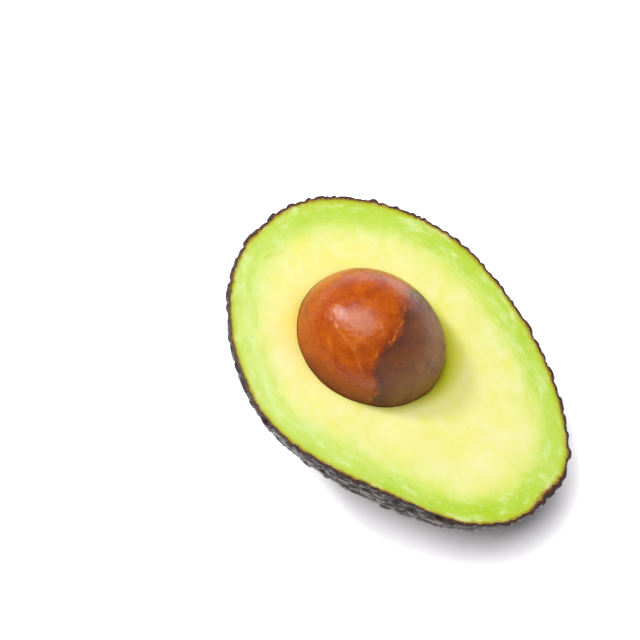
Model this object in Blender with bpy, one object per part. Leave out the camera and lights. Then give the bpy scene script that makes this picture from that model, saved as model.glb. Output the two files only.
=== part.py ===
"""Avocado half with its seed: a peel cup, the flesh in it and the whole seed in the flesh.

Each piece is shaped in the fruit's own frame: the cut plane is z = 0 with the fruit below
it, +x runs along the fruit towards the stem, and +y is its left side. The empty called
avocado_half lays them down as they rest: +Z is up, +X points to the stem end, and the
origin is the middle of the small flat spot underneath.
"""

from math import cos, exp, pi, radians, sin, sqrt

import bmesh
import bpy
from mathutils import Euler, Matrix, Vector

# ---- the fruit, in metres ----
HALF_LENGTH = 0.0480
LEFT_HALF_WIDTH = 0.0342
RIGHT_HALF_WIDTH = 0.0341
# Along the fruit, at x = HALF_LENGTH * c, the half width is
# width * sqrt(1 - c^2) * (1 + e1*c + e2*c^2 + e3*c^3), with a set of e for each side.
LEFT_EGG = (-0.118, -0.049, 0.053)
RIGHT_EGG = (-0.178, -0.016, 0.191)
# Soft hollows and swells of the outline: bearing from the stem, share of the radius, spread.
SWELLS = (
    (radians(7), -0.016, radians(12)),
    (radians(-67), -0.034, radians(16)),
    (radians(-105), 0.022, radians(15)),
    (radians(178), -0.015, radians(14)),
)

# ---- the peel ----
PEEL_THICKNESS = 0.0010
STEM_SCAR_THICKNESS = 0.0020
STEM_SCAR_SPREAD = radians(9)
GAP = 0.0003

# ---- the seed ----
SEED_HALF_LENGTH = 0.0188
SEED_HALF_WIDTH = 0.0166
SEED_BLUNTNESS = -0.046
SEED_CENTRE = Vector((-0.0091, -0.0012, -0.0013))
SEED_TURN = radians(16)

# ---- how the half rests ----
STEM_END_DIP = radians(13.0)
SIDE_ROLL = radians(10.4)
FLAT_SPOT_DEPTH = 0.0010

# ---- mesh density, and the steps of the searches ----
SPOKES = 60
BODY_RINGS = 13
SEED_SUBDIVISIONS = 4
FINITE_STEP = 0.01
FIRST_SEARCH_STEP = 0.2
LAST_SEARCH_STEP = 1e-4
HALVINGS = 40
SHARP_EDGE = radians(35)

LAY_DOWN = Euler((-SIDE_ROLL, STEM_END_DIP, 0.0)).to_matrix()
UP = LAY_DOWN.transposed() @ Vector((0.0, 0.0, 1.0))


def swell(direction):
    """How far the fruit's radius swells out or falls in, as a factor, in this direction."""
    factor = 1.0
    for bearing, share, spread in SWELLS:
        towards = Vector((cos(bearing), sin(bearing), 0.0))
        factor += share * exp(-(direction.angle(towards) / spread) ** 2)
    return factor


def fruit_surface(direction):
    """The point of the peel's outside that a unit sphere has in this direction."""
    c = direction.x
    across = sqrt(direction.y ** 2 + direction.z ** 2)
    left_share = 0.5 + 0.5 * direction.y / across if across > 0.0 else 0.5

    def half_width(width, shape):
        return width * (1.0 + shape[0] * c + shape[1] * c ** 2 + shape[2] * c ** 3)

    left = half_width(LEFT_HALF_WIDTH, LEFT_EGG)
    right = half_width(RIGHT_HALF_WIDTH, RIGHT_EGG)
    radius = left * left_share + right * (1.0 - left_share)
    return swell(direction) * Vector((HALF_LENGTH * c, radius * direction.y, radius * direction.z))


def inside_fruit(direction, inset):
    """The point this far in from the peel's outside, square to it."""
    step = FINITE_STEP
    sideways = direction.orthogonal().normalized()
    onwards = direction.cross(sideways)
    along = (fruit_surface((direction + step * sideways).normalized())
             - fruit_surface((direction - step * sideways).normalized()))
    around = (fruit_surface((direction + step * onwards).normalized())
              - fruit_surface((direction - step * onwards).normalized()))
    outwards = along.cross(around).normalized()
    return fruit_surface(direction) - inset * outwards


def peel_depth(direction):
    """Thickness of the peel, which grows to the woody scar where the stem came off."""
    from_stem = direction.angle(Vector((1.0, 0.0, 0.0)))
    scar = exp(-(from_stem / STEM_SCAR_SPREAD) ** 2)
    return PEEL_THICKNESS + scar * (STEM_SCAR_THICKNESS - PEEL_THICKNESS)


def lowest_direction():
    """Direction of the fruit's lowest point once it is laid down, by a shrinking search."""
    moves = [Vector(axis) for axis in ((1, 0, 0), (-1, 0, 0), (0, 1, 0), (0, -1, 0))]
    best = Vector((0.0, 0.0, -1.0))
    step = FIRST_SEARCH_STEP
    while step > LAST_SEARCH_STEP:
        trials = [(best + step * move).normalized() for move in moves]
        lowest = min(trials, key=lambda trial: fruit_surface(trial).dot(UP))
        if fruit_surface(lowest).dot(UP) < fruit_surface(best).dot(UP):
            best = lowest
        else:
            step /= 2.0
    return best


SPOT = lowest_direction()
FLOOR_HEIGHT = fruit_surface(SPOT).dot(UP) + FLAT_SPOT_DEPTH


def half_rings(depth_at, floor_height):
    """Closed rings of points, from the cut plane down to where the wall meets a flat floor."""
    rings = [[] for _ in range(BODY_RINGS + 1)]
    for spoke in range(SPOKES):
        bearing = 2.0 * pi * spoke / SPOKES
        rim = Vector((cos(bearing), sin(bearing), 0.0))

        def wall(share):
            direction = rim.slerp(SPOT, share)
            return inside_fruit(direction, depth_at(direction))

        above, below = 0.0, 1.0
        for _ in range(HALVINGS):
            middle = (above + below) / 2.0
            if wall(middle).dot(UP) > floor_height:
                above = middle
            else:
                below = middle
        for number, ring in enumerate(rings):
            ring.append(wall(above * number / BODY_RINGS))
        rings[0][-1].z = 0.0
    return rings


def add_wall(bm, rings):
    """Skins the rings and closes the bottom one with a flat fan; gives the rim's vertices."""
    rows = [[bm.verts.new(point) for point in ring] for ring in rings]
    for upper, lower in zip(rows, rows[1:]):
        for i in range(SPOKES):
            j = (i + 1) % SPOKES
            bm.faces.new((upper[i], upper[j], lower[j], lower[i]))
    middle = bm.verts.new(sum(rings[-1], Vector()) / SPOKES)
    for i in range(SPOKES):
        bm.faces.new((rows[-1][i], rows[-1][(i + 1) % SPOKES], middle))
    return rows[0]


def make_object(name, bm, material):
    """An object of this mesh, smooth but for its sharp edges, laid down with the fruit."""
    bmesh.ops.recalc_face_normals(bm, faces=bm.faces)
    mesh = bpy.data.meshes.new(name)
    bm.to_mesh(mesh)
    bm.free()
    mesh.shade_smooth()
    mesh.set_sharp_from_angle(angle=SHARP_EDGE)
    if material:
        mesh.materials.append(material)
    piece = bpy.data.objects.new(name, mesh)
    piece.parent = bpy.data.objects["avocado_half"]
    bpy.context.scene.collection.objects.link(piece)
    return piece


def make_material(name, colour, roughness):
    """A plain Principled BSDF finish."""
    material = bpy.data.materials.new(name)
    material.use_nodes = True
    shader = material.node_tree.nodes["Principled BSDF"]
    shader.inputs["Base Color"].default_value = (*colour, 1.0)
    shader.inputs["Roughness"].default_value = roughness
    shader.inputs["Metallic"].default_value = 0.0
    return material


def lay_down():
    """The empty that holds the half, with the middle of its flat spot at the origin."""
    spot_ring = half_rings(lambda direction: 0.0, FLOOR_HEIGHT)[-1]
    spot_middle = LAY_DOWN @ (sum(spot_ring, Vector()) / SPOKES)
    holder = bpy.data.objects.new("avocado_half", None)
    holder.rotation_euler = (-SIDE_ROLL, STEM_END_DIP, 0.0)
    holder.location = -spot_middle
    bpy.context.scene.collection.objects.link(holder)


def make_peel():
    """A thin cup, outside and inside walls joined by the cut rim."""
    bm = bmesh.new()
    outer_rim = add_wall(bm, half_rings(lambda direction: 0.0, FLOOR_HEIGHT))
    inner_rim = add_wall(bm, half_rings(peel_depth, FLOOR_HEIGHT + PEEL_THICKNESS))
    for i in range(SPOKES):
        j = (i + 1) % SPOKES
        bm.faces.new((outer_rim[i], outer_rim[j], inner_rim[j], inner_rim[i]))
    return make_object("peel", bm, make_material("peel_brown", (0.075, 0.055, 0.045), 0.6))


def seed_mesh(grow):
    """The seed as a slightly blunt egg, its skin moved out by this much."""
    bm = bmesh.new()
    bmesh.ops.create_icosphere(bm, subdivisions=SEED_SUBDIVISIONS, radius=1.0)
    turn = Matrix.Rotation(SEED_TURN, 3, "Z")
    for vert in bm.verts:
        blunt = 1.0 + SEED_BLUNTNESS * vert.co.x
        across = SEED_HALF_WIDTH * blunt + grow
        shaped = Vector(((SEED_HALF_LENGTH + grow) * vert.co.x, across * vert.co.y, across * vert.co.z))
        vert.co = turn @ shaped + SEED_CENTRE
    return bm


def make_seed():
    return make_object("seed", seed_mesh(0.0), make_material("seed_brown", (0.30, 0.085, 0.022), 0.35))


def make_flesh():
    """A solid half that fills the peel, with the seed's hollow cut into it."""
    bm = bmesh.new()
    rim = add_wall(bm, half_rings(lambda direction: peel_depth(direction) + GAP,
                                  FLOOR_HEIGHT + PEEL_THICKNESS + GAP))
    bm.faces.new(rim)
    flesh = make_object("flesh", bm, make_material("flesh_green", (0.80, 0.85, 0.25), 0.45))
    cutter = make_object("seed_hollow_cutter", seed_mesh(GAP), None)
    cutter.hide_render = True
    cutter.display_type = "WIRE"
    hollow = flesh.modifiers.new("seed_hollow", "BOOLEAN")
    hollow.operation = "DIFFERENCE"
    hollow.object = cutter
    return flesh


for old in list(bpy.data.objects):
    bpy.data.objects.remove(old)
lay_down()
make_peel()
make_flesh()
make_seed()
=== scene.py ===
"""Looks of an avocado half with its seed: pebbled peel, cut flesh, brown seed, pale table."""

from math import cos, pi, radians, sin

import bmesh
import bpy
import numpy as np
from mathutils import Euler, Matrix, Vector, noise


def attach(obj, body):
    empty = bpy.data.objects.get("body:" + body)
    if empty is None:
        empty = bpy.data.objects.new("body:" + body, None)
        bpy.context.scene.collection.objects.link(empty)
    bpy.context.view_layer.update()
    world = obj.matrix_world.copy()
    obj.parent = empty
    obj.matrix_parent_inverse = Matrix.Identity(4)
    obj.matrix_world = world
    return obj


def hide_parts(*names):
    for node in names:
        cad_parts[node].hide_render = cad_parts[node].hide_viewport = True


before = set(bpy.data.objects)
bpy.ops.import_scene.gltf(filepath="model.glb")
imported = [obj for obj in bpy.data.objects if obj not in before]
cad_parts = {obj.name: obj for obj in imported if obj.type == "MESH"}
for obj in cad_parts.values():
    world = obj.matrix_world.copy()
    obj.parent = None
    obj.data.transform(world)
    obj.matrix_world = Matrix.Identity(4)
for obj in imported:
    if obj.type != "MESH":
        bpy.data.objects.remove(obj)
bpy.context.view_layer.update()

# ---------------------------------------------------------------------------------------
# Peel. A leathery skin under 1 mm thick, dark and pebbled outside, that grew fast to the
# flesh. The knife cut it all round, and it is pressed flat where the half rests. The woody
# stem scar sits at the narrow end and was cut through with it.
# ---------------------------------------------------------------------------------------
fruit_half_length = 0.0480
fruit_half_width = {"left": 0.0342, "right": 0.0341}
# How each side's width departs from an ellipse along the fruit: a straight, a square and a
# cubic share.
fruit_egg_shape = {"left": (-0.118, -0.049, 0.053), "right": (-0.178, -0.016, 0.191)}
# Soft hollows and swells: bearing from the stem in degrees, share of the radius, spread.
fruit_swells = (
    (20, 0.018, 12),
    (-4, -0.004, 10),
    (102, 0.016, 16),
    (178, -0.020, 14),
    (-67, -0.034, 16),
    (-105, 0.036, 15),
    (-132, 0.012, 18),
)
# The blunt end on the right side draws in below the cut, stated in the same way.
fruit_draw_in = (-131, 0.175, 42)
# The half lies with its cut face dipping to the stem end and to the left side.
stem_end_dip = radians(13.0)
side_roll = radians(10.4)
lay_turn = np.array(Euler((-side_roll, stem_end_dip, 0.0)).to_matrix())
# Brings the middle of the flat spot underneath to the origin.
lay_shift = np.array((-0.00143, -0.00018, 0.03283))
peel_edge_thickness = 0.00085
stem_scar_thickness = 0.0019
stem_scar_spread = radians(8)
pebble_size = 0.0031
pebble_flatness = (1.0, 1.0, 1.4)
pebble_draw = 1795115371
pebble_relief = 0.00092
pebble_middle = 0.55
lowest_pebble = 0.70
pebble_unevenness = 0.30
crease_width = 0.42
lump_size = 0.007
lump_relief = 0.00022
pebble_share_inside = 0.3
# The knife leaves the cut edge of the peel torn, a little crowned and worn at the outside.
cut_tear_size = 0.0011
cut_tear = 0.00007
cut_crown = 0.00005
cut_wear = 0.00006
cut_shares = np.array((0.15, 0.35, 0.6, 0.82, 0.95))
spokes = 640
outside_rows = 132
inside_rows = 14
sharp_edge = radians(60)
cut_up = lay_turn @ (0.0, 0.0, 1.0)


def unit(vectors):
    """The same directions, each of length one."""
    return vectors / np.linalg.norm(vectors, axis=-1, keepdims=True)


def fruit_skin(ways):
    """Points of the smooth fruit, in its own frame, for directions on a unit sphere."""
    c = ways[..., 0]
    across = np.hypot(ways[..., 1], ways[..., 2])
    left_share = 0.5 + 0.5 * ways[..., 1] / np.maximum(across, 1e-12)
    radius = 0.0
    for side, share in (("left", left_share), ("right", 1.0 - left_share)):
        e1, e2, e3 = fruit_egg_shape[side]
        radius = radius + share * fruit_half_width[side] * (1 + e1 * c + e2 * c ** 2 + e3 * c ** 3)
    swelling = np.ones_like(c)
    for bearing, height, spread in fruit_swells:
        towards = np.array((cos(radians(bearing)), sin(radians(bearing)), 0.0))
        away = np.degrees(np.arccos(np.clip(ways @ towards, -1, 1)))
        swelling = swelling + height * np.exp(-(away / spread) ** 2)
    smooth = np.stack([fruit_half_length * c, radius * ways[..., 1], radius * ways[..., 2]], -1)
    bearing, share, spread = fruit_draw_in
    off_bearing = np.degrees(np.arctan2(ways[..., 1], c)) - bearing
    off_bearing = (off_bearing + 180) % 360 - 180
    drawn = share * np.exp(-(off_bearing / spread) ** 2) * np.maximum(-ways[..., 2], 0)
    smooth[..., :2] *= 1 - drawn[..., None]
    return swelling[..., None] * smooth


def skin_outwards(ways):
    """Directions square to the smooth fruit's skin."""
    step = 0.01
    reference = np.where(np.abs(ways[..., 2:3]) > 0.9, (1.0, 0.0, 0.0), (0.0, 0.0, 1.0))
    sideways = unit(np.cross(reference, ways))
    onwards = np.cross(ways, sideways)
    along = fruit_skin(unit(ways + step * sideways)) - fruit_skin(unit(ways - step * sideways))
    down = fruit_skin(unit(ways + step * onwards)) - fruit_skin(unit(ways - step * onwards))
    return unit(np.cross(along, down))


def lay_down(points):
    """From the fruit's frame, cut plane at z = 0, to how the half lies on the table."""
    return points @ lay_turn.T + lay_shift


def height_of(points, size, octaves=3, lift=0.0):
    """Soft noise from -1 to 1 at each point, with features of this size."""
    flat = points.reshape(-1, 3) / size + lift
    found = [noise.fractal(Vector(p), 0.8, 2.1, octaves) for p in flat]
    return np.array(found).reshape(points.shape[:-1])


def pebbles(points):
    """Rounded pebbles from 0 in the creases to 1 on top, uneven in size, shape and height."""
    heights = []
    for p in points.reshape(-1, 3) / pebble_size * pebble_flatness:
        p = Vector(p)
        p = p + 0.38 * noise.noise_vector(p * 0.7) + 0.10 * noise.noise_vector(p * 2.1)
        near, cells = noise.voronoi(p)[:2]
        from_crease = min(1.0, (near[1] - near[0]) / crease_width)
        rank = lowest_pebble + pebble_unevenness * noise.cell(cells[0] * 7.3)
        heights.append(rank * from_crease * (2.0 - from_crease))
    return np.array(heights).reshape(points.shape[:-1])


def skin_relief(points):
    """How proud the pebbled skin stands of the smooth fruit, and the pebbles alone."""
    tops = pebbles(points)
    proud = pebble_relief * (tops - pebble_middle) + lump_relief * height_of(points, lump_size)
    return proud, tops


def row_mesh(name, rows, first_pole, last_pole):
    """A closed skin over rows of equal length, each row a ring, with a point at both ends."""
    points = np.concatenate([[first_pole], rows.reshape(-1, 3), [last_pole]])
    count, around = rows.shape[:2]
    ring = np.arange(around)
    after = (ring + 1) % around
    corner = 1 + np.arange(count)[:, None] * around
    low, high = corner[:-1], corner[1:]
    quads = np.stack([low + ring, low + after, high + after, high + ring], -1).reshape(-1, 4)
    last = len(points) - 1
    start = [(0, int(corner[0, 0] + b), int(corner[0, 0] + a)) for a, b in zip(ring, after)]
    end = [(last, int(corner[-1, 0] + a), int(corner[-1, 0] + b)) for a, b in zip(ring, after)]
    mesh = bpy.data.meshes.new(name)
    mesh.from_pydata(points.tolist(), [], start + quads.tolist() + end)
    turned = bmesh.new()
    turned.from_mesh(mesh)
    if turned.calc_volume(signed=True) < 0:
        bmesh.ops.reverse_faces(turned, faces=turned.faces)
    turned.to_mesh(mesh)
    turned.free()
    return mesh


def keep_measure(mesh, name, rows, first=0.0, last=0.0):
    """Stores a number for each point of a row mesh, for its finish to read."""
    values = np.concatenate([[first], rows.ravel(), [last]]).astype(np.float32)
    mesh.attributes.new(name, "FLOAT", "POINT").data.foreach_set("value", values)


def place(name, mesh, *finishes):
    """Links a finished piece into the scene, riding on the half."""
    for finish in finishes:
        mesh.materials.append(finish)
    mesh.shade_smooth()
    mesh.set_sharp_from_angle(angle=sharp_edge)
    piece = bpy.data.objects.new(name, mesh)
    bpy.context.scene.collection.objects.link(piece)
    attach(piece, "root")
    return piece


def paint(red, green, blue):
    """A colour mixed on a 0 to 255 card, as the linear values that a shader takes."""
    card = np.array((red, green, blue)) / 255.0
    linear = np.where(card <= 0.04045, card / 12.92, ((card + 0.055) / 1.055) ** 2.4)
    return (*linear.tolist(), 1.0)


def new_finish(name):
    """An empty finish: its node tree and its shader."""
    finish = bpy.data.materials.new(name)
    finish.use_nodes = True
    return finish, finish.node_tree, finish.node_tree.nodes["Principled BSDF"]


def put(tree, kind, sockets, **settings):
    """Adds a node, joins or fills its sockets, and gives its first output."""
    node = tree.nodes.new(kind)
    for name, value in settings.items():
        setattr(node, name, value)
    for name, value in sockets.items():
        if isinstance(value, bpy.types.NodeSocket):
            tree.links.new(value, node.inputs[name])
        else:
            node.inputs[name].default_value = value
    return node.outputs[0]


def measure(tree, name, output="Fac"):
    """Reads what is stored on the piece's points under this name."""
    node = tree.nodes.new("ShaderNodeAttribute")
    node.attribute_name = name
    return node.outputs[output]


def place_on_piece(tree):
    """Where each bit of the surface is, in metres."""
    return tree.nodes.new("ShaderNodeTexCoord").outputs["Object"]


def sums(tree, operation, *values):
    """Works out one sum, product or the like of numbers and sockets."""
    return put(tree, "ShaderNodeMath", dict(enumerate(values)), operation=operation)


def spread(tree, value, low, high, out_low=0.0, out_high=1.0):
    """Turns a range of values into another, with soft ends."""
    sockets = {"Value": value, "From Min": low, "From Max": high,
               "To Min": out_low, "To Max": out_high}
    return put(tree, "ShaderNodeMapRange", sockets, interpolation_type="SMOOTHSTEP")


def mottle(tree, where, size, detail=3.0, roughness=0.55, warp=0.0, draw=0.0):
    """Noise from 0 to 1 with features of this size; another draw gives another pattern."""
    sockets = {"Vector": where, "Scale": 1.0 / size, "Detail": detail, "Roughness": roughness,
               "Distortion": warp, "W": draw}
    return put(tree, "ShaderNodeTexNoise", sockets, noise_dimensions="4D")


def colours(tree, value, stops):
    """A row of colours along a value from 0 to 1."""
    node = tree.nodes.new("ShaderNodeValToRGB")
    tree.links.new(value, node.inputs["Fac"])
    row = node.color_ramp.elements
    for position, colour in stops[1:-1]:
        row.new(position).color = colour
    row[0].position, row[0].color = stops[0]
    row[-1].position, row[-1].color = stops[-1]
    return node.outputs["Color"]


def layer(tree, amount, under, over):
    """One colour laid over another by an amount."""
    node = tree.nodes.new("ShaderNodeMix")
    node.data_type = "RGBA"
    amount_socket, under_socket, over_socket = node.inputs[0], node.inputs[6], node.inputs[7]
    for socket, value in ((amount_socket, amount), (under_socket, under), (over_socket, over)):
        if isinstance(value, bpy.types.NodeSocket):
            tree.links.new(value, socket)
        else:
            socket.default_value = value
    return node.outputs[2]


def relief(tree, shader, height, depth, strength):
    """Fine relief of this depth in metres, too small for the mesh."""
    sockets = {"Height": height, "Distance": depth, "Strength": strength}
    tree.links.new(put(tree, "ShaderNodeBump", sockets), shader.inputs["Normal"])


def peel_outside_finish():
    finish, tree, shader = new_finish("peel_outside")
    where = place_on_piece(tree)
    grit = sums(tree, "MULTIPLY_ADD", mottle(tree, where, 0.0007, 4.0, 0.65), 0.4, -0.2)
    top = sums(tree, "ADD", measure(tree, "pebble"), grit)
    # Painted shade and highlight: the peel is painted near black in the creases between the pebbles
    # and lighter on their tops.
    skin = colours(tree, top, ((0.0, paint(13, 7, 5)), (0.3, paint(29, 17, 13)),
                               (0.6, paint(54, 36, 30)), (1.0, paint(84, 59, 48))))
    patches = spread(tree, mottle(tree, where, 0.012, 4.0, draw=3.0), 0.46, 0.68)
    skin = layer(tree, sums(tree, "MULTIPLY", patches, 0.4), skin, paint(62, 60, 38))
    dark = spread(tree, mottle(tree, where, 0.005, 4.0, warp=0.6, draw=5.0), 0.5, 0.68, 0.0, 0.65)
    skin = layer(tree, dark, skin, paint(38, 25, 27))
    corky = put(tree, "ShaderNodeTexVoronoi", {"Vector": where, "Scale": 1 / 0.0026})
    dots = spread(tree, corky, 0.06, 0.12, 0.5, 0.0)
    skin = layer(tree, sums(tree, "MULTIPLY", dots, top), skin, paint(138, 118, 88))
    tree.links.new(skin, shader.inputs["Base Color"])
    sheen = spread(tree, mottle(tree, where, 0.0016, 5.0, draw=7.0), 0.3, 0.7, 0.18, 0.36)
    tree.links.new(sheen, shader.inputs["Roughness"])
    shader.inputs["Specular IOR Level"].default_value = 0.22
    bumps = put(tree, "ShaderNodeTexVoronoi", {"Vector": where, "Scale": 1 / 0.0011},
                feature="SMOOTH_F1")
    wrinkles = sums(tree, "SUBTRACT", mottle(tree, where, 0.0008, 5.0, 0.6, warp=0.8), bumps)
    relief(tree, shader, wrinkles, 0.00012, 0.65)
    return finish


def peel_cut_finish():
    finish, tree, shader = new_finish("peel_cut_edge")
    where = place_on_piece(tree)
    patchy = sums(tree, "MULTIPLY_ADD", mottle(tree, where, 0.0022, 4.0, 0.65), 1.3, -0.62)
    grain = sums(tree, "MULTIPLY_ADD", mottle(tree, where, 0.0006, 3.0), 0.7, -0.35)
    across = sums(tree, "ADD", measure(tree, "across_cut"), sums(tree, "ADD", patchy, grain))
    edge = colours(tree, across, ((0.0, paint(182, 150, 38)), (0.12, paint(142, 98, 28)),
                                  (0.3, paint(92, 55, 24)), (0.6, paint(62, 38, 22)),
                                  (1.0, paint(46, 31, 25))))
    tree.links.new(edge, shader.inputs["Base Color"])
    shader.inputs["Roughness"].default_value = 0.45
    relief(tree, shader, mottle(tree, where, 0.0005, 4.0, draw=2.0), 0.00015, 0.8)
    return finish


bearings = 2 * pi * np.arange(spokes) / spokes
rim_ways = np.stack([np.cos(bearings), np.sin(bearings), 0 * bearings], -1)
fruit_reach = np.array((fruit_half_length, fruit_half_width["left"], fruit_half_width["left"]))
spot_way = unit(fruit_reach * (lay_turn.T @ (0.0, 0.0, -1.0)))


def ways_down(shares):
    """Directions from the rim, at share 0, to the resting spot, at share 1."""
    turn = np.arccos(rim_ways @ spot_way)[None, :, None]
    shares = np.asarray(shares)[:, None, None]
    return unit(np.sin((1 - shares) * turn) * rim_ways[None] + np.sin(shares * turn) * spot_way)


def peel_depth(ways):
    """How thick the peel is, thicker at the stem scar."""
    from_stem = np.arccos(np.clip(ways[..., 0], -1, 1))
    scar = np.exp(-(from_stem / stem_scar_spread) ** 2)
    return peel_edge_thickness + scar * (stem_scar_thickness - peel_edge_thickness)


def inner_wall(ways, gap):
    """The inside of the peel, which follows the pebbles a little, moved in by a gap."""
    smooth = fruit_skin(ways)
    depth = peel_depth(ways) + gap - pebble_share_inside * skin_relief(smooth)[0]
    return smooth - depth[..., None] * skin_outwards(ways)


# One fixed draw for the way that the pebbles are shifted about, the same on each run.
noise.seed_set(pebble_draw)
outside_ways = ways_down(np.arange(outside_rows) / outside_rows)
smooth_outside = fruit_skin(outside_ways)
proud, pebble_tops = skin_relief(smooth_outside)
outside = lay_down(smooth_outside + proud[..., None] * skin_outwards(outside_ways))
outside[..., 2] = np.maximum(outside[..., 2], 0.0)

inside_ways = ways_down(np.arange(inside_rows) / inside_rows)
inside = lay_down(inner_wall(inside_ways, 0.0))
inside[..., 2] = np.maximum(inside[..., 2], peel_edge_thickness)

cut_rows = inside[0] + cut_shares[:, None, None] * (outside[0] - inside[0])
torn = cut_tear * height_of(cut_rows, cut_tear_size)
crown = cut_crown * np.sin(pi * cut_shares)[:, None] - cut_wear * cut_shares[:, None] ** 4
cut_rows = cut_rows + (torn + crown)[..., None] * cut_up

peel_rows = np.concatenate([inside[::-1], cut_rows, outside])
spot_middle = np.array((outside[-1, :, 0].mean(), outside[-1, :, 1].mean(), 0.0))
above_spot = spot_middle + np.array((0.0, 0.0, peel_edge_thickness))
peel_mesh = row_mesh("peel", peel_rows, above_spot, spot_middle)
plain_inside = np.zeros((inside_rows, spokes))
plain_cut = np.repeat(cut_shares[:, None], spokes, axis=1)
keep_measure(peel_mesh, "pebble", np.concatenate([plain_inside, 0 * plain_cut, pebble_tops]))
keep_measure(peel_mesh, "across_cut", np.concatenate([plain_inside, plain_cut, 1 + 0 * pebble_tops]))
first_cut_face = inside_rows * spokes
last_cut_face = first_cut_face + (len(cut_shares) + 1) * spokes
peel_face_finishes = np.zeros(len(peel_mesh.polygons), np.int32)
peel_face_finishes[first_cut_face:last_cut_face] = 1
peel = place("peel_pebbled", peel_mesh, peel_outside_finish(), peel_cut_finish())
peel_mesh.polygons.foreach_set("material_index", peel_face_finishes)
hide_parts("peel")

# ---------------------------------------------------------------------------------------
# Flesh. Soft and buttery, creamy yellow round the seed and green under the peel, cut flat
# with a knife that left faint smears. It fills the peel, and its hollow, grown to the
# seed's shape, has a rounded lip that falls away more on the stem side.
# ---------------------------------------------------------------------------------------
seed_half_length = 0.0188
seed_half_width = 0.0166
seed_bluntness = -0.046
seed_centre = np.array((-0.0091, -0.0012, -0.0013))
seed_turn = radians(16)
seed_axes = np.array(Matrix.Rotation(seed_turn, 3, "Z"))
flesh_gap = 0.00002
seed_gap = 0.00004
face_rows = 62
hollow_rows = 20
wall_rows = 14
# The hollow's lip is narrow all round, and wide and deep towards one side.
lip_side = radians(32)
lip_spread = radians(44)
narrow_lip_width = 0.0014
narrow_lip_drop = 0.00020
more_lip_width = 0.0040
more_lip_drop = 0.00120
lip_roundness = 2.2
# Painted shade: the flesh is painted a darker olive yellow-green down the lip, and for a way out
# over the cut, where the seed shades it. The hollow under the seed is painted with most of that
# shade.
lip_shade_spread = radians(72)
lip_shade_reach = 0.010
hollow_shade = 0.8
# Across from the lip the flesh is a warmer yellow close to the seed.
warm_side = radians(222)
warm_spread = radians(38)
warm_reach = 0.004
warm_strength = 0.55
# The knife leaves long soft waves and fine ridges, none of them right at the peel.
knife_wave_size = 0.014
knife_wave_height = 0.00016
knife_ridge_size = 0.0022
knife_ridge_height = 0.00003
knife_calm_edge = 0.003
# How fresh the green is and how wide its band, by bearing from the stem in degrees.
green_bearings = (-31, 5, 37, 90, 145, 195, 225, 255)
green_freshness = (1.0, 0.6, 0.55, 0.7, 0.75, 0.25, 0.0, 0.12)
green_width = (1.05, 1.1, 1.3, 1.1, 1.12, 1.1, 1.14, 1.05)
# The fibres' own map: a turn round the seed is this wide, against millimetres along them.
fibre_map_radius = 32
band_end = 20.0


def seed_skin(ways, grow=0.0):
    """Points of the seed, or of the hollow round it, in the fruit's frame."""
    across = seed_half_width * (1 + seed_bluntness * ways[..., 0]) + grow
    lengthways = (seed_half_length + grow) * ways[..., 0]
    shaped = np.stack([lengthways, across * ways[..., 1], across * ways[..., 2]], -1)
    return shaped @ seed_axes.T + seed_centre


def seed_dents(ways):
    """How far the seed's skin stands out of, or lies below, the smooth egg."""
    return 0.00018 * height_of(ways, 0.55, 2) + 0.00004 * height_of(ways, 0.10, 3)


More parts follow.
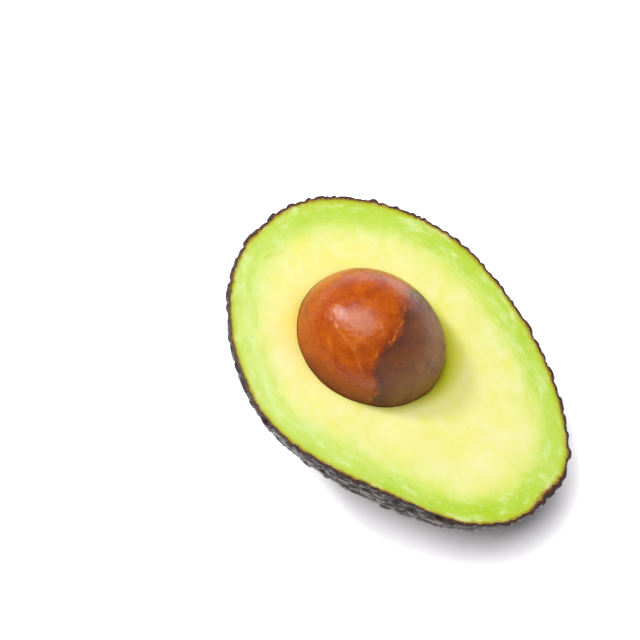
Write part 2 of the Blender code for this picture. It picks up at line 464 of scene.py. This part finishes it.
def flesh_finish():
    finish, tree, shader = new_finish("flesh_cut")
    where = place_on_piece(tree)
    from_peel = measure(tree, "from_peel")
    fibre = measure(tree, "fibre", "Vector")
    # The bands wander by a millimetre or two, but not at the very edge.
    wander = sums(tree, "MULTIPLY_ADD", mottle(tree, where, 0.011, 2.0), 7.0, -3.5)
    wisps = mottle(tree, where, 0.0032, 4.0, 0.6, warp=0.5, draw=4.0)
    wisps = sums(tree, "MULTIPLY_ADD", wisps, 3.0, -1.5)
    wander = sums(tree, "ADD", wander, wisps)
    hold = spread(tree, from_peel, 0.3, 4.5)
    depth = sums(tree, "MULTIPLY_ADD", wander, hold, from_peel)
    depth = sums(tree, "DIVIDE", depth, band_end)
    fresh_band = colours(tree, depth, (
        (0.0, paint(138, 122, 20)), (0.014, paint(176, 176, 26)), (0.035, paint(182, 203, 44)),
        (0.08, paint(177, 210, 40)), (0.20, paint(184, 215, 54)), (0.30, paint(204, 226, 88)),
        (0.40, paint(220, 231, 116)), (0.50, paint(229, 234, 132)), (0.66, paint(236, 236, 146)),
        (1.0, paint(238, 236, 148))))
    pale_band = colours(tree, depth, (
        (0.0, paint(142, 124, 32)), (0.014, paint(178, 178, 50)), (0.035, paint(196, 214, 84)),
        (0.08, paint(205, 226, 116)), (0.17, paint(208, 229, 124)), (0.26, paint(217, 231, 132)),
        (0.36, paint(229, 234, 144)), (0.48, paint(236, 236, 152)), (0.66, paint(239, 236, 154)),
        (1.0, paint(239, 236, 152))))
    flesh = layer(tree, measure(tree, "freshness"), pale_band, fresh_band)
    # The creamy middle is whiter here and yellower there.
    middle_only = spread(tree, from_peel, 4.0, 9.0)
    clouds = mottle(tree, where, 0.008, 4.0, 0.6, warp=0.4, draw=8.0)
    whiter = sums(tree, "MULTIPLY", spread(tree, clouds, 0.40, 0.72, 0.0, 0.70), middle_only)
    flesh = layer(tree, whiter, flesh, paint(241, 240, 182))
    clouds = mottle(tree, where, 0.0065, 4.0, 0.6, warp=0.4, draw=11.0)
    yellower = sums(tree, "MULTIPLY", spread(tree, clouds, 0.42, 0.74, 0.0, 0.70), middle_only)
    flesh = layer(tree, yellower, flesh, paint(234, 232, 108))
    # Soft smears along the peel: fresher green, and paler mint at the blunt end.
    stretched = put(tree, "ShaderNodeMapping", {"Vector": fibre, "Scale": (0.16, 0.16, 0.38)})
    smears = mottle(tree, stretched, 1.0, 4.0, 0.62, warp=0.2)
    band_only = spread(tree, from_peel, 9.0, 4.0)
    fresh = sums(tree, "MULTIPLY", spread(tree, smears, 0.50, 0.32, 0.0, 0.42), band_only)
    flesh = layer(tree, fresh, flesh, paint(172, 209, 50))
    pale = sums(tree, "MULTIPLY", spread(tree, smears, 0.50, 0.66, 0.0, 0.62), band_only)
    flesh = layer(tree, pale, flesh, paint(219, 238, 162))
    spots = mottle(tree, where, 0.0018, 3.0, 0.6, draw=14.0)
    flesh = layer(tree, spread(tree, spots, 0.55, 0.75, 0.0, 0.22), flesh, paint(226, 232, 92))
    flesh = layer(tree, spread(tree, spots, 0.45, 0.25, 0.0, 0.22), flesh, paint(240, 242, 186))
    # Faint fibres run from the seed out to the peel.
    rays = put(tree, "ShaderNodeMapping", {"Vector": fibre, "Scale": (0.9, 0.9, 0.13)})
    ray_noise = mottle(tree, rays, 1.0, 2.0, 0.5, draw=17.0)
    flesh = layer(tree, spread(tree, ray_noise, 0.5, 0.8, 0.0, 0.08), flesh, paint(250, 248, 190))
    # Painted shade: darker olive yellow-green down the lip beside the seed and in its hollow.
    flesh = layer(tree, measure(tree, "lip_painted_shadow"), flesh, paint(202, 204, 0))
    # The flesh is a warmer yellow close to the seed, across from the lip.
    flesh = layer(tree, measure(tree, "seed_side_warmth"), flesh, paint(236, 204, 84))
    flecks = put(tree, "ShaderNodeTexVoronoi", {"Vector": where, "Scale": 1 / 0.0075})
    fleck = sums(tree, "MULTIPLY", spread(tree, flecks, 0.035, 0.018, 0.0, 0.5), band_only)
    flesh = layer(tree, fleck, flesh, paint(110, 150, 40))
    tree.links.new(flesh, shader.inputs["Base Color"])
    gloss = spread(tree, smears, 0.3, 0.7, 0.40, 0.55)
    tree.links.new(gloss, shader.inputs["Roughness"])
    shader.inputs["Specular IOR Level"].default_value = 0.22
    shader.inputs["Subsurface Weight"].default_value = 0.15
    shader.inputs["Subsurface Radius"].default_value = (1.0, 0.8, 0.3)
    shader.inputs["Subsurface Scale"].default_value = 0.0012
    fine = mottle(tree, where, 0.0014, 5.0, 0.6, draw=20.0)
    drag = sums(tree, "ADD", fine, ray_noise)
    relief(tree, shader, drag, 0.00010, 0.6)
    return finish


wall_ways = ways_down(np.arange(wall_rows) / wall_rows)
flesh_wall_own = inner_wall(wall_ways, flesh_gap)
flesh_wall_own[0, :, 2] = 0.0
flesh_wall = lay_down(flesh_wall_own)
flesh_wall[..., 2] = np.maximum(flesh_wall[..., 2], peel_edge_thickness + flesh_gap)

rim = flesh_wall_own[0]
seen_from_seed = np.arctan2(rim[:, 1] - seed_centre[1], rim[:, 0] - seed_centre[0])
off_lip_side = (seen_from_seed - lip_side + pi) % (2 * pi) - pi
lip_fall = np.exp(-(off_lip_side / lip_spread) ** 2)
lip_width = narrow_lip_width + more_lip_width * lip_fall
lip_drop = narrow_lip_drop + more_lip_drop * lip_fall
seed_bearing = seen_from_seed - seed_turn
contact_rise = np.arcsin(-(lip_drop + seed_centre[2]) / (seed_half_width + seed_gap))


def hollow_ring(rise):
    """One ring of the hollow's wall, at this rise seen from the middle of the seed."""
    ways = np.stack([np.cos(seed_bearing) * np.cos(rise), np.sin(seed_bearing) * np.cos(rise),
                     np.sin(rise) + 0 * seed_bearing], -1)
    return seed_skin(ways, seed_gap + seed_dents(ways))


contact = hollow_ring(contact_rise)
hollow_shares = np.arange(1, hollow_rows) / hollow_rows
hollow_rises = [contact_rise + share * (-pi / 2 - contact_rise) for share in hollow_shares]
hollow_own = np.stack([hollow_ring(rise) for rise in hollow_rises])
hollow_bottom = seed_skin(np.array((0.0, 0.0, -1.0)), seed_gap)

even = np.arange(1, face_rows) / face_rows
face_shares = 0.62 * even + 0.38 * (0.5 - 0.5 * np.cos(pi * even))
seed_to_rim = np.linalg.norm((rim - contact)[:, :2], axis=1)
face_own = rim + face_shares[:, None, None] * (contact - rim)
from_seed = (1 - face_shares[:, None]) * seed_to_rim
from_peel = face_shares[:, None] * seed_to_rim
lip_share = np.clip(1 - from_seed / lip_width, 0, 1)
waves = knife_wave_height * height_of(face_own * (1.0, 1.6, 1.0), knife_wave_size, 2)
ridges = knife_ridge_height * height_of(face_own * (0.5, 1.5, 1.0), knife_ridge_size, 2)
knife_marks = (waves + ridges) * np.clip(from_peel / knife_calm_edge, 0, 1)
face_own[..., 2] = knife_marks - lip_drop * lip_share ** lip_roundness

flesh_rows = np.concatenate([flesh_wall[::-1], lay_down(face_own), lay_down(contact)[None],
                             lay_down(hollow_own)])
wall_bottom = np.array((*flesh_wall[-1, :, :2].mean(0), peel_edge_thickness + flesh_gap))
flesh_mesh = row_mesh("flesh", flesh_rows, wall_bottom, lay_down(hollow_bottom))

on_wall = np.zeros((wall_rows, spokes))
in_hollow = np.zeros((hollow_rows, spokes))
millimetres_in = np.concatenate([on_wall, 1000 * from_peel, in_hollow + 1000 * seed_to_rim])
rim_degrees = np.degrees(bearings)
freshness = np.interp(rim_degrees, green_bearings, green_freshness, period=360)
band_width = np.interp(rim_degrees, green_bearings, green_width, period=360)
keep_measure(flesh_mesh, "from_peel", millimetres_in / band_width, 0.0, band_end)
keep_measure(flesh_mesh, "freshness", np.repeat(freshness[None], len(flesh_rows), axis=0))
# Where the painted shade falls on the flesh: down the lip, and faintly further out over the cut.
down_lip = np.clip(1.5 * (1 - from_seed / (1.2 * lip_width)), 0, 1)
shade = np.exp(-(off_lip_side / lip_shade_spread) ** 2) * down_lip
shade = np.maximum(shade, 0.2 * lip_fall * np.exp(-(from_seed / lip_shade_reach) ** 2))
keep_measure(flesh_mesh, "lip_painted_shadow", np.concatenate([on_wall, shade, in_hollow + hollow_shade]))
off_warm_side = (seen_from_seed - warm_side + pi) % (2 * pi) - pi
warmth = np.exp(-(off_warm_side / warm_spread) ** 2) * np.exp(-(from_seed / warm_reach) ** 2)
keep_measure(flesh_mesh, "seed_side_warmth", np.concatenate([on_wall, warm_strength * warmth, in_hollow]))
map_across = fibre_map_radius * np.cos(bearings)
map_along = fibre_map_radius * np.sin(bearings)
fibre_rows = np.stack(np.broadcast_arrays(map_across, map_along, millimetres_in), -1)
fibre_points = np.concatenate([[(0, 0, 0)], fibre_rows.reshape(-1, 3), [(0, 0, band_end)]])
fibre_store = flesh_mesh.attributes.new("fibre", "FLOAT_VECTOR", "POINT")
fibre_store.data.foreach_set("vector", fibre_points.astype(np.float32).ravel())
flesh = place("flesh_cut_half", flesh_mesh, flesh_finish())
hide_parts("flesh")

# ---------------------------------------------------------------------------------------
# Seed. One hard blunt egg in a thin, smooth brown coat with a net of fine raised veins.
# The coat is darker and duller over the stem side, with a ragged border. It lies loose in
# its hollow, half of it above the cut.
# ---------------------------------------------------------------------------------------
seed_subdivisions = 7
vein_width = 0.00017
vein_height = 0.00005
clear_vein_drift = 0.02
grown_vein_drift = 0.10
grown_vein_strength = 0.4
grown_vein_count = 8
grown_vein_steps = 26
vein_step = 0.11
vein_bend = 0.45
twig_chance = 0.16
twig_steps = 4
twig_step = 0.09
# The dull part's border crosses the seed at this share of its half length. Down the right
# side it bends twice: from this share of the half width, over this much, by this slope.
dark_coat_border = 0.14
border_bends = ((0.25, 0.35, -0.27), (0.62, 0.40, 0.9))
border_raggedness = 0.06
# Painted shade: the coat is painted deeper brown low on the right, near the flesh: where it starts,
# over how much it grows.
low_shade_outwards = (0.38, 0.45)
low_shade_downwards = (0.40, 0.30)
low_shade_strength = 0.85
# Veins as routes of bearing and rise in degrees, seen from the middle of the seed.
drawn_veins = (
    ((-150, 47), (-136, 49), (-123, 50), (-111, 49), (-100, 45), (-91, 38), (-84, 28)),
    ((-132, 64), (-125, 59), (-116, 54), (-111, 50)),
    ((-146, 42), (-138, 38), (-129, 36), (-121, 34), (-112, 27)),
    ((84, 50), (76, 62), (64, 76), (15, 81), (-48, 79), (-64, 70), (-74, 62)),
    ((-120, 80), (-95, 77), (-90, 68), (-84, 59), (-88, 52)),
)


def way_of(bearing, rise):
    """The direction of one stop of a vein."""
    bearing, rise = radians(bearing), radians(rise)
    return np.array((cos(bearing) * cos(rise), sin(bearing) * cos(rise), sin(rise)))


def grown_veins(count, steps):
    """Veins that wander from the blunt end over the rest of the seed and fork now and then."""
    dice = np.random.default_rng(12)
    routes = []
    for vein in range(count):
        around = 2 * pi * (vein + 0.5 * dice.random()) / count
        heading = np.array((0.0, cos(around), sin(around)))
        way = unit(np.array((-1.0, 0.0, 0.0)) + 0.25 * heading)
        route = [way]
        for _ in range(steps):
            side = np.cross(way, heading)
            heading = unit(heading + vein_bend * (dice.random() - 0.5) * side)
            way = unit(way + vein_step * heading)
            heading = unit(heading - (heading @ way) * way)
            route.append(way)
            if dice.random() < twig_chance:
                twig_heading = unit(heading + 0.8 * np.sign(dice.random() - 0.5) * side)
                twig = [way]
                for _ in range(twig_steps):
                    twig.append(unit(twig[-1] + twig_step * twig_heading))
                routes.append(twig)
        routes.append(route)
    return routes


def vein_closeness(ways, routes):
    """1 on a vein's middle line, falling to 0 a little more than its width away."""
    closest = np.full(len(ways), 9.0)
    for route in routes:
        for a, b in zip(route, route[1:]):
            run = b - a
            share = np.clip((ways - a) @ run / (run @ run), 0, 1)
            closest = np.minimum(closest, np.linalg.norm(ways - a - share[:, None] * run, axis=1))
    return np.exp(-(closest * seed_half_width / vein_width) ** 2)


def seed_finish():
    finish, tree, shader = new_finish("seed_coat")
    where = place_on_piece(tree)
    blotches = mottle(tree, where, 0.006, 5.0, 0.62, warp=0.3)
    coat = colours(tree, blotches, ((0.30, paint(150, 52, 2)), (0.45, paint(174, 74, 1)),
                                    (0.58, paint(190, 88, 2)), (0.72, paint(206, 108, 12))))
    grain = spread(tree, mottle(tree, where, 0.0013, 5.0, 0.65, draw=3.0), 0.40, 0.66, 0.0, 0.35)
    coat = layer(tree, grain, coat, paint(148, 58, 6))
    # Painted shade: deeper brown low on the seed's right, near the flesh.
    coat = layer(tree, measure(tree, "low_painted_shade"), coat, paint(118, 34, 0))
    edge = measure(tree, "dark_coat")
    # The coat darkens towards the border of the dull part.
    nearing = spread(tree, edge, -0.30, -0.02)
    smudges = mottle(tree, where, 0.005, 4.0, 0.62, warp=0.5, draw=27.0)
    smudges = spread(tree, smudges, 0.38, 0.62, 0.15, 0.75)
    coat = layer(tree, sums(tree, "MULTIPLY", nearing, smudges), coat, paint(132, 48, 8))
    dusk = colours(tree, edge, ((0.0, paint(82, 42, 28)), (0.2, paint(114, 65, 32)),
                                (0.5, paint(134, 84, 26)), (0.85, paint(136, 86, 8))))
    smoke = mottle(tree, where, 0.0045, 4.0, 0.6, warp=0.4, draw=6.0)
    dusk = layer(tree, spread(tree, smoke, 0.42, 0.66, 0.0, 0.55), dusk, paint(86, 50, 38))
    russet = mottle(tree, where, 0.003, 4.0, 0.6, warp=0.6, draw=9.0)
    dusk = layer(tree, spread(tree, russet, 0.52, 0.70, 0.0, 0.5), dusk, paint(136, 66, 22))
    soften = sums(tree, "MULTIPLY_ADD", mottle(tree, where, 0.004, 4.0, 0.6, draw=21.0), 0.36, -0.18)
    dulled = spread(tree, sums(tree, "ADD", edge, soften), -0.06, 0.08, 0.0, 0.95)
    coat = layer(tree, dulled, coat, dusk)
    # Bits of the coat are worn golden right at that border.
    at_border = spread(tree, sums(tree, "ABSOLUTE", edge), 0.09, 0.0)
    worn = mottle(tree, where, 0.0016, 4.0, 0.6, warp=0.8, draw=30.0)
    worn = sums(tree, "MULTIPLY", at_border, spread(tree, worn, 0.54, 0.66, 0.0, 0.65))
    coat = layer(tree, worn, coat, paint(206, 118, 38))
    fade = spread(tree, mottle(tree, where, 0.003, 3.0, draw=12.0), 0.40, 0.62, 0.12, 0.75)
    veins = sums(tree, "MULTIPLY", measure(tree, "vein"), fade)
    coat = layer(tree, veins, coat, paint(226, 136, 54))
    pores = put(tree, "ShaderNodeTexVoronoi", {"Vector": where, "Scale": 1 / 0.0042})
    coat = layer(tree, spread(tree, pores, 0.10, 0.04, 0.0, 0.7), coat, paint(84, 30, 8))
    freckles = mottle(tree, where, 0.0010, 2.0, 0.5, draw=24.0)
    coat = layer(tree, spread(tree, freckles, 0.66, 0.76, 0.0, 0.55), coat, paint(104, 42, 10))
    tree.links.new(coat, shader.inputs["Base Color"])
    dull = spread(tree, mottle(tree, where, 0.0022, 5.0, draw=15.0), 0.3, 0.7, 0.17, 0.31)
    dull = sums(tree, "MULTIPLY_ADD", measure(tree, "low_painted_shade"), 0.3, dull)
    dull = sums(tree, "ADD", dull, spread(tree, edge, -0.05, 0.15, 0.0, 0.25))
    tree.links.new(dull, shader.inputs["Roughness"])
    shader.inputs["IOR"].default_value = 1.45
    skin_grain = mottle(tree, where, 0.0007, 5.0, 0.65, draw=18.0)
    relief(tree, shader, skin_grain, 0.00012, 0.75)
    return finish


seed_ball = bmesh.new()
bmesh.ops.create_icosphere(seed_ball, subdivisions=seed_subdivisions, radius=1.0)
seed_mesh = bpy.data.meshes.new("seed")
seed_ball.to_mesh(seed_mesh)
seed_ball.free()
seed_ways = np.zeros(len(seed_mesh.vertices) * 3, np.float32)
seed_mesh.vertices.foreach_get("co", seed_ways)
seed_ways = unit(seed_ways.reshape(-1, 3).astype(float))
drift = np.stack([height_of(seed_ways, 0.3, 3, lift) for lift in (0.0, 7.0, 13.0)], -1)
clear_routes = [[way_of(*stop) for stop in route] for route in drawn_veins]
grown_routes = grown_veins(grown_vein_count, grown_vein_steps)
vein = vein_closeness(seed_ways + clear_vein_drift * drift, clear_routes)
grown_vein = vein_closeness(seed_ways + grown_vein_drift * drift, grown_routes)
vein = np.maximum(vein, grown_vein_strength * grown_vein)
seed_points = seed_skin(seed_ways, seed_dents(seed_ways) + vein_height * (vein - 1))
seed_mesh.vertices.foreach_set("co", lay_down(seed_points).astype(np.float32).ravel())
to_right = -seed_ways[:, 1]
border = dark_coat_border
for start, length, slope in border_bends:
    border = border + slope * np.clip(to_right - start, 0, length)
dark_coat = seed_ways[:, 0] - border + border_raggedness * height_of(seed_ways, 0.35, 4)
start, length = low_shade_outwards
out_right = np.clip((to_right - start) / length, 0, 1)
start, length = low_shade_downwards
low_down = np.clip((start - seed_ways[:, 2]) / length, 0, 1)
low_painted_shade = low_shade_strength * (out_right * low_down)
for name, values in (("vein", vein), ("dark_coat", dark_coat), ("low_painted_shade", low_painted_shade)):
    store = seed_mesh.attributes.new(name, "FLOAT", "POINT")
    store.data.foreach_set("value", values.astype(np.float32))
seed = place("seed_whole", seed_mesh, seed_finish())
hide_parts("seed")

# ---------------------------------------------------------------------------------------
# Table, light and camera. A plain white table in soft studio light: a bright room, a broad
# panel overhead and a softbox off the fruit's blunt end. The camera looks down on the cut.
# ---------------------------------------------------------------------------------------
table_size = 2.0
# The table glows faintly by itself: painted light that lightens the shadows on it.
table_glow = 0.02
table_glow_tint = (0.97, 0.965, 1.0, 1.0)
# The room is bright at the level of the table and darker above this much of a rise.
room_tint = (1.0, 0.955, 0.98, 1.0)
room_low, room_high = 0.88, 0.18
room_fade_start, room_fade_end = 0.02, 0.24
camera_bearing = radians(40.7)
camera_rise = radians(70.0)
camera_distance = 0.5253
camera_aim = Vector((-0.0224, -0.0061, 0.0364))
camera_lens = 123.75


def table_finish():
    finish, tree, shader = new_finish("table_white")
    where = place_on_piece(tree)
    tones = ((0.3, paint(247, 246, 248)), (0.7, paint(250, 250, 251)))
    tone = colours(tree, mottle(tree, where, 0.25, 2.0), tones)
    tree.links.new(tone, shader.inputs["Base Color"])
    shader.inputs["Roughness"].default_value = 0.75
    shader.inputs["Specular IOR Level"].default_value = 0.15
    shader.inputs["Emission Color"].default_value = table_glow_tint
    shader.inputs["Emission Strength"].default_value = table_glow
    return finish


def light_panel(name, towards, distance, size, power, tint):
    """A square panel of soft light that faces the fruit from this direction."""
    lamp = bpy.data.lights.new(name, "AREA")
    lamp.size = size
    lamp.energy = power
    lamp.color = tint
    panel = bpy.data.objects.new(name, lamp)
    towards = Vector(towards).normalized()
    panel.location = distance * towards
    panel.rotation_euler = towards.to_track_quat("Z", "Y").to_euler()
    bpy.context.scene.collection.objects.link(panel)
    return panel


table_mesh = bpy.data.meshes.new("table")
table_top = bmesh.new()
bmesh.ops.create_grid(table_top, x_segments=8, y_segments=8, size=table_size / 2)
table_top.to_mesh(table_mesh)
table_top.free()
table_mesh.materials.append(table_finish())
table = bpy.data.objects.new("table", table_mesh)
bpy.context.scene.collection.objects.link(table)

light_panel("softbox", towards=(-0.63, -0.075, 0.773), distance=1.1, size=0.146, power=4.6,
            tint=(1.0, 0.985, 0.96))
light_panel("overhead_panel", towards=(-0.20, 0.06, 0.978), distance=1.3, size=1.0, power=14.7,
            tint=(0.99, 0.985, 1.0))
# One more panel lights the table alone and keeps it white.
table_panel = light_panel("table_panel", towards=(-0.26, -0.29, 0.921), distance=1.5, size=0.8,
                          power=15.0, tint=(1.0, 0.99, 0.995))
lit_by_it = bpy.data.collections.new("lit_by_table_panel")
lit_by_it.objects.link(table)
table_panel.light_linking.receiver_collection = lit_by_it

room = bpy.data.worlds.new("white_room")
room.use_nodes = True
room_tree = room.node_tree
upwards = room_tree.nodes.new("ShaderNodeTexCoord").outputs["Generated"]
split = room_tree.nodes.new("ShaderNodeSeparateXYZ")
room_tree.links.new(upwards, split.inputs[0])
fade = spread(room_tree, split.outputs["Z"], room_fade_start, room_fade_end, room_low, room_high)
background = room_tree.nodes["Background"]
background.inputs["Color"].default_value = room_tint
room_tree.links.new(fade, background.inputs["Strength"])
bpy.context.scene.world = room

lens = bpy.data.cameras.new("camera")
lens.lens = camera_lens
lens.clip_start = 0.01
camera = bpy.data.objects.new("camera", lens)
back = Vector((sin(camera_bearing) * cos(camera_rise), -cos(camera_bearing) * cos(camera_rise),
               sin(camera_rise)))
camera.location = camera_aim + camera_distance * back
camera.rotation_euler = back.to_track_quat("Z", "Y").to_euler()
bpy.context.scene.collection.objects.link(camera)
bpy.context.scene.camera = camera
bpy.context.scene.view_settings.view_transform = "Standard"
